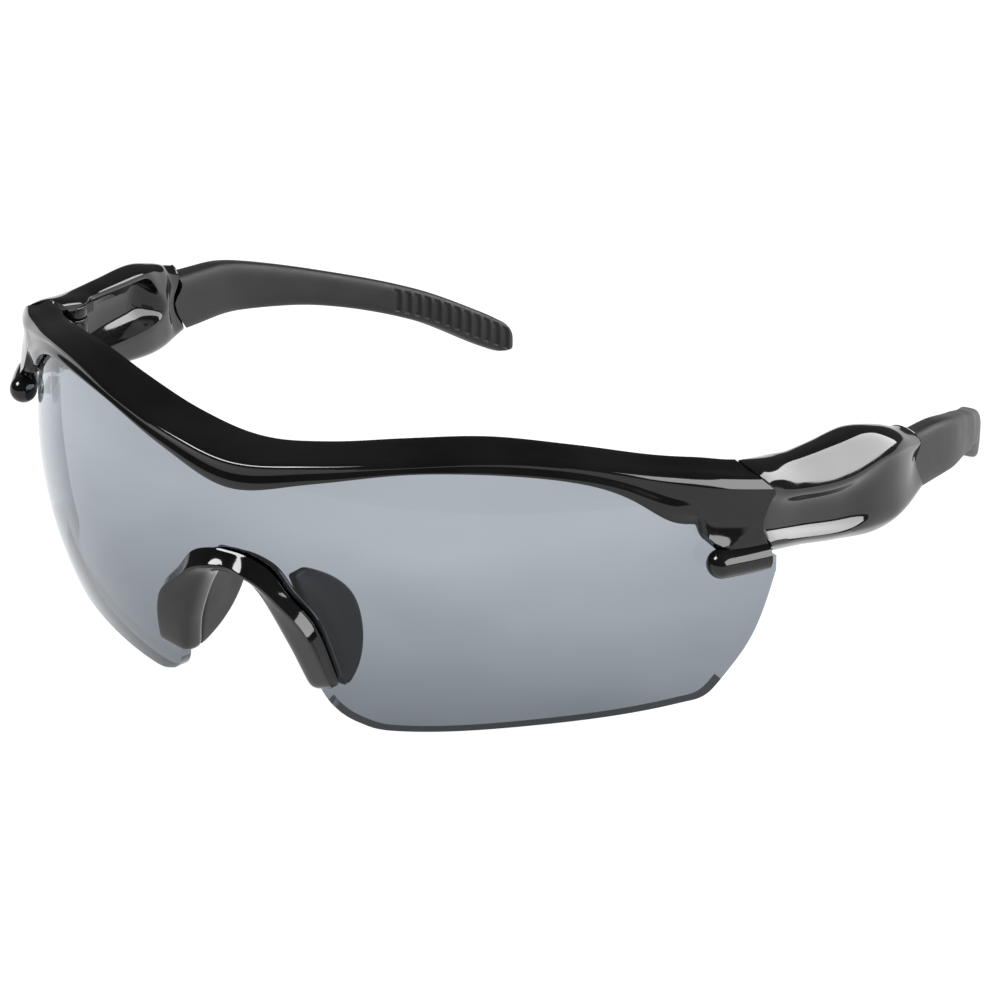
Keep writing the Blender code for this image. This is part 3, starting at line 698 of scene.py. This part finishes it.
def bridge_section(t, side):
    """U over the lens edge: web in the nose gap, a ridged front flange and a plain rear one."""
    here, normal, into = bridge_station(t)
    flange = curve(BRIDGE_FLANGE, t)
    crest = curve(BRIDGE_CREST, t)
    rise = curve(BRIDGE_RISE, t)
    half = LENS_THICKNESS / 2 + GAP
    profile = [
        (-GAP, -half), (-GAP, half), (flange - 0.1, half), (flange, half + 0.12),
        (flange - 0.25, half + 0.35),
        (0.5 * (flange - 0.15 + crest), half + 0.5 * (0.35 + rise)),
        (crest + 0.2, half + rise), (crest - 0.35, half + rise - 0.12),
        (0.5 * (crest - 1.9), half + 0.55 * rise),
        (-1.75, half + 0.2), (-1.85, -half + 0.3), (-1.5, -half - 1.1),
        (flange - 1.9, -half - 1.3), (flange - 1.0, -half - 0.9), (flange - 1.0, -half),
    ]
    points = [here + into * m + normal * n for m, n in profile]
    return [Vector((side * p.x, p.y, p.z)) for p in points]


def middle_of(ring):
    return sum(ring, Vector()) / len(ring)


def shrunk(ring, share, shift):
    """The ring scaled about its middle and moved, to round off an end."""
    middle = middle_of(ring)
    return [middle + (p - middle) * share + shift for p in ring]


def bridge_mesh():
    stations = steps(0.0, 1.0, 25)
    left = [bridge_section(t, 1) for t in stations]
    right = [bridge_section(t, -1) for t in stations[1:]]
    rings = list(reversed(right)) + left
    for k, end in ((0, 1), (-1, -1)):
        down = (middle_of(rings[k]) - middle_of(rings[k + end])).normalized()
        for share, shift in ((0.93, 0.9), (0.7, 0.6)):
            rings.insert(0 if k == 0 else len(rings), shrunk(rings[k], share, down * shift))
    def build(bm):
        loft(bm, rings, BRIDGE_HARD, {0: 0.3, len(rings) - 1: 0.3})
    return smoothed(new_mesh("nose_bridge", build), 3)


def pad_rear_edge(z):
    """Rear edge of a nose pad: half an ellipse below its middle and a parabola above."""
    share = (2 * z - PAD_LOW_Z - PAD_HIGH_Z) / (PAD_HIGH_Z - PAD_LOW_Z)
    bulge = 1 - min(1.0, share * share)
    return PAD_ROOT_Y + PAD_REACH * (math.sqrt(bulge) if share < 0 else bulge)


def pad_mesh():
    """A D-shaped rubber wing that runs back beside the nose, its lower end further out."""
    def build(bm):
        rings = []
        for z in steps(PAD_LOW_Z, PAD_HIGH_Z, 19):
            x = PAD_TOP_X + (PAD_TOP_Z - z) * PAD_SPLAY
            front = -math.sqrt((lens_radius(z) - LENS_THICKNESS) ** 2 - x ** 2) + PAD_SETBACK
            rear = max(pad_rear_edge(z), front + 1.2)
            ring = []
            for share in steps(0.0, 1.0, 7):
                ring.append((x - 0.35 * math.sin(math.pi * share), front + (rear - front) * share, z))
            for share in steps(1.0, 0.0, 7):
                ring.append((x - PAD_THICKNESS + 0.25 * share, front + (rear - front) * share, z))
            rings.append(ring)
        loft(bm, rings, None, {0: 0.3, len(rings) - 1: 0.3})
    return smoothed(new_mesh("nose_pad", build), 2)


# ---- temples, made for the +X side and mirrored for the other ----
def seam_y(x, z):
    """Where the seam between arm and tip lies; it slants forward towards the inner side."""
    return curve(TIP_SEAM, z) + SEAM_SLANT * (min(x, SEAM_OUTER_X) - SEAM_OUTER_X)


def outline(y):
    """Lowest and highest point of the temple, through arm and tip."""
    if y < ARM_REAR_Y:
        return curve(ARM_BOTTOM, y), curve(ARM_TOP, y)
    half = curve(TIP_HEIGHT, y) / 2
    return curve(TIP_CENTRE, y) - half, curve(TIP_CENTRE, y) + half


def slid(x, y, z, new_y):
    """The point moved along the temple, at the same share of the temple's height."""
    low, high = outline(y)
    new_low, new_high = outline(new_y)
    return Vector((x, new_y, new_low + (z - low) / (high - low) * (new_high - new_low)))


def arm_warp(p):
    """Moves a point of the arm so that its ends follow the wavy seams."""
    x, y, z = p
    front = -x / math.tan(math.radians(curve(FRAME_SEAM, z))) + SEAM_GAP
    new_y = y + (1 - ease(ARM_FRONT_Y, FRONT_WARP_END_Y, y)) * (front - ARM_FRONT_Y)
    new_y += ease(REAR_WARP_START_Y, ARM_REAR_Y, y) * (seam_y(x, z) - ARM_REAR_Y)
    return slid(x, y, z, new_y)


def arm_section(y):
    """C section: shoulder, upper ridge, valley and lower ridge outside, a pocket inside."""
    top = curve(ARM_TOP, y)
    low = curve(ARM_BOTTOM, y)
    height = top - low
    top_x = curve(ARM_TOP_X, y)
    low_x = curve(ARM_BOTTOM_X, y)
    outer = curve(ARM_OUTER, y)
    hinge = 1 - ease(*HINGE_ROOM_END, y)
    closed = ease(*POCKET_END, y)
    plate = curve(ARM_INNER, y)
    wall = plate + 0.1 + HINGE_ROOM * hinge
    floor = outer - ARM_WALL + 1.6 * hinge
    floor += (plate - floor) * closed
    roof = top - (0.11 + 0.05 * hinge + 0.28 * closed) * height
    sill = low + (curve(SILL_SHARE, y) + 0.08 * closed) * height
    shoulder = top - SHOULDER_SHARE * height
    ridge = top - curve(RIDGE_SHARE, y) * height
    valley = ridge - VALLEY_SHARE * height
    shoulder_x = outer - FACE_SLOPE * (shoulder - ridge)
    low_edge_x = outer + 0.6 - curve(LOW_STRIP, y)
    profile = [
        (plate, roof + 0.55 * (top - roof)), (plate + 0.8, top - 0.35), (top_x - 0.9, top - 0.05),
        (0.6 * top_x + 0.4 * shoulder_x, 0.72 * top + 0.28 * shoulder), (shoulder_x, shoulder),
        (0.5 * (shoulder_x + outer) + 0.1, 0.5 * (shoulder + ridge)), (outer, ridge),
        (outer - 0.15, ridge - 0.8), (outer - curve(VALLEY_DEPTH, y), valley),
        (low_edge_x, top - curve(LOW_EDGE_SHARE, y) * height),
        (outer + 0.6, top - LOW_RIDGE_SHARE * height), (0.4 * low_x + 0.6 * outer, low + 0.7),
        (low_x, low), (0.5 * (wall + low_x), low + 0.15), (wall + 0.1, low + 0.8),
        (wall, 0.5 * (sill + low) + 0.3), (wall, sill), (floor, sill + 0.9), (floor, roof - 0.9),
        (plate, roof),
    ]
    return [arm_warp((x, y, z)) for x, z in profile]


def arm_mesh():
    stations = [ARM_FRONT_Y, -38.3, -37.4, -36.0, -34.6, -33.2, -31.9, -31.0, -30.0, -29.0]
    stations += steps(-27.6, -9.6, 13) + [-8.4, -7.4, -6.4, -5.4, -4.2, -2.4, 0.0, 2.4, 4.6, 6.2, 7.1]
    stations.append(ARM_REAR_Y)
    last = len(stations) - 1
    def build(bm):
        loft(bm, [arm_section(y) for y in stations], ARM_HARD, {0: 0.8, last: 0.8})
    return smoothed(new_mesh("temple_arm", build), 2)


def arm_knuckles():
    """Upper and lower hinge ears joined to the outer wall by webs."""
    parts = []
    for low in (LUG_LOW - GAP - KNUCKLE_HEIGHT, LUG_HIGH + GAP):
        high = low + KNUCKLE_HEIGHT
        parts.append(barrel(LUG_RADIUS, low, high, HINGE_X, HINGE_Y))
        def build(bm):
            loft(bm, [[
                (HINGE_X - 1.9, HINGE_Y - 0.4, z), (EAR_WEB_X, HINGE_Y - 0.4, z),
                (EAR_WEB_X, HINGE_Y + 3.4, z), (HINGE_X - 1.9, HINGE_Y + 3.4, z),
            ] for z in (low + 0.15, high - 0.15)])
        parts.append(new_mesh("web", build))
    return parts


def tip_end_share(y):
    """Share of its full section that the temple tip keeps as it rounds off at its end."""
    left = (TIP_END_Y - y) / TIP_END_LENGTH
    if left >= 1.0:
        return 1.0
    return math.sqrt(max(0.0, 1.0 - (1.0 - left) ** 2)) * (1.0 - TIP_END_SHARE) + TIP_END_SHARE


def tip_groove(y):
    """How deep a grip groove is at y, from 0 to 1."""
    deep = 0.0
    for k in range(TIP_GROOVES):
        off = abs(y - (GROOVE_LAST_Y - k * TIP_GROOVE_PITCH))
        deep = max(deep, 1.0 - ease(*GROOVE_HALF_WIDTH, off))
    return deep


def tip_section(y, count=56):
    """Flat-sided oval of the rubber temple tip, with grip grooves on its inner side."""
    thickness = curve(TIP_THICKNESS, y)
    height = curve(TIP_HEIGHT, y)
    x = curve(TIP_OUTER, y) - thickness / 2
    z = curve(TIP_CENTRE, y)
    end = tip_end_share(y)
    cut = tip_groove(y)
    ring = []
    for k in range(count):
        a = 2 * math.pi * (k + 0.5) / count
        cx = math.copysign(abs(math.cos(a)) ** 0.55, math.cos(a))
        cz = math.copysign(abs(math.sin(a)) ** 0.6, math.sin(a))
        px = x + cx * end * thickness / 2
        pz = z + cz * end * height / 2
        if cx < 0 and cut > 0:
            px += GROOVE_DEPTH * cut * (1 - ease(*GROOVE_HEIGHT_SHARE, abs(cz)))
        share = 1 - ease(*SEAM_BLEND_Y, y)
        py = y + share * (seam_y(px, pz) - ARM_REAR_Y)
        ring.append((px, py, max(0.0, pz)))
    return ring


def tip_mesh():
    first = ARM_REAR_Y + GAP
    stations = [first, first + 0.12, first + 0.35] + steps(first + 0.9, 53.0, 50)
    stations += steps(53.4, 80.0, 178) + [80.3, 80.55, 80.7, TIP_END_Y]
    def build(bm):
        loft(bm, [tip_section(y) for y in stations])
    return new_mesh("temple_tip", build)


def core_mesh():
    """Stiffening core, seen only where the tip meets the arm."""
    def build(bm):
        rings = []
        for y in steps(CORE_FRONT_Y, CORE_END_Y, 28):
            x = curve(TIP_OUTER, y) - curve(TIP_THICKNESS, y) / 2
            z = curve(TIP_CENTRE, y)
            w = CORE_THICKNESS / 2
            h = CORE_HEIGHT / 2
            rings.append([(x - w, y, z - h), (x + w, y, z - h), (x + w, y, z + h), (x - w, y, z + h)])
        loft(bm, rings, {k: 0.6 for k in range(4)}, {0: 0.7, len(rings) - 1: 0.7})
    return smoothed(new_mesh("temple_core", build), 2)


def pin_mesh():
    """Hinge pin with a low dished head under the lower ear."""
    low = LUG_LOW - 2 * GAP - KNUCKLE_HEIGHT
    high = LUG_HIGH + GAP + KNUCKLE_HEIGHT - 0.2
    return turned([
        (0.1, low - 0.58), (0.35, low - 0.6), (0.9, low - 0.7), (1.2, low - 0.68), (1.42, low - 0.55),
        (1.5, low - 0.4), (1.5, low - 0.05), (1.45, low), (PIN_RADIUS, low), (PIN_RADIUS, high - 0.15),
        (PIN_RADIUS - 0.15, high),
    ], HINGE_X, HINGE_Y)


# ---- build the pieces ----
black = gloss_black()
rubber = matte_rubber()
nylon = core_nylon()
steel = pin_steel()
smoke = smoke_lens("smoke_lens", (0.605, 0.63, 0.66), (0.355, 0.38, 0.405))

shield = piece(lens_mesh(), "smoke_shield", "front", smoke, ["lens"])
# The second material passes little light: painted shade for the dark line that the lens's edge shows.
shield.data.materials.append(smoke_lens("lens_rim_painted_shade", (0.10, 0.105, 0.11), (0.07, 0.075, 0.08)))
paint_rim_shade(shield.data)
frame_extras = hinge_lug(1) + hinge_lug(-1) + [thumb_bar(1), thumb_bar(-1)]
frame_body = combine(frame_mesh(), frame_extras, "UNION")
piece(frame_body, "brow_bar", "front", black, ["brow_frame"])
piece(bridge_mesh(), "saddle_bridge", "front", black, ["nose_bridge"])
arm_body = combine(arm_mesh(), arm_knuckles(), "UNION")
# mesh, piece, whether it folds with the temple, slot, material, CAD node
PAIRED = [
    (pad_mesh(), "nose_wing_", False, "matte_rubber", rubber, "nose_pad_"),
    (pin_mesh(), "pin_", False, "pin_steel", steel, "hinge_pin_"),
    (arm_body, "arm_", True, "gloss_black", black, "temple_arm_"),
    (tip_mesh(), "tip_", True, "matte_rubber", rubber, "temple_tip_"),
    (core_mesh(), "core_", True, "core_nylon", nylon, "temple_core_"),
]
for side, word in ((1, "left"), (-1, "right")):
    for mesh, name, folds, slot, material, node in PAIRED:
        shape = mesh.copy() if side > 0 else mirrored(mesh)
        body = word + "_temple" if folds else "front"
        piece(shape, name + word, body, material, [node + word])


# ---- floor, light and camera ----
def add_floor():
    bm = bmesh.new()
    bmesh.ops.create_grid(bm, x_segments=1, y_segments=1, size=FLOOR_HALF_SIZE)
    mesh = bpy.data.meshes.new("floor")
    bm.to_mesh(mesh)
    bm.free()
    mesh.materials.append(floor_pale())
    floor = bpy.data.objects.new("floor", mesh)
    bpy.context.scene.collection.objects.link(floor)


def add_softbox(name, direction, distance, width, height, power):
    """A rectangular soft light that faces the glasses from a direction."""
    light = bpy.data.lights.new(name, "AREA")
    light.shape = "RECTANGLE"
    light.size = width
    light.size_y = height
    light.energy = power
    lamp = bpy.data.objects.new(name, light)
    place = LIGHT_TARGET + Vector(direction).normalized() * distance
    lamp.location = place
    lamp.rotation_euler = (LIGHT_TARGET - place).to_track_quat("-Z", "Y").to_euler()
    bpy.context.scene.collection.objects.link(lamp)


def add_sky(strength):
    world = bpy.data.worlds.new("studio")
    world.use_nodes = True
    world.node_tree.nodes["Background"].inputs["Color"].default_value = (1, 1, 1, 1)
    world.node_tree.nodes["Background"].inputs["Strength"].default_value = strength
    bpy.context.scene.world = world


def add_camera():
    data = bpy.data.cameras.new("camera")
    data.lens = CAMERA_FOCAL_LENGTH
    data.sensor_width = CAMERA_SENSOR
    data.clip_start = 0.01
    camera = bpy.data.objects.new("camera", data)
    camera.location = CAMERA_PLACE
    camera.rotation_euler = (math.radians(CAMERA_TILT), 0.0, math.radians(CAMERA_TURN))
    bpy.context.scene.collection.objects.link(camera)
    bpy.context.scene.camera = camera


add_floor()
add_sky(SKY_STRENGTH)
for softbox in SOFTBOXES:
    add_softbox(*softbox)
add_camera()
bpy.context.scene.view_settings.view_transform = "Standard"
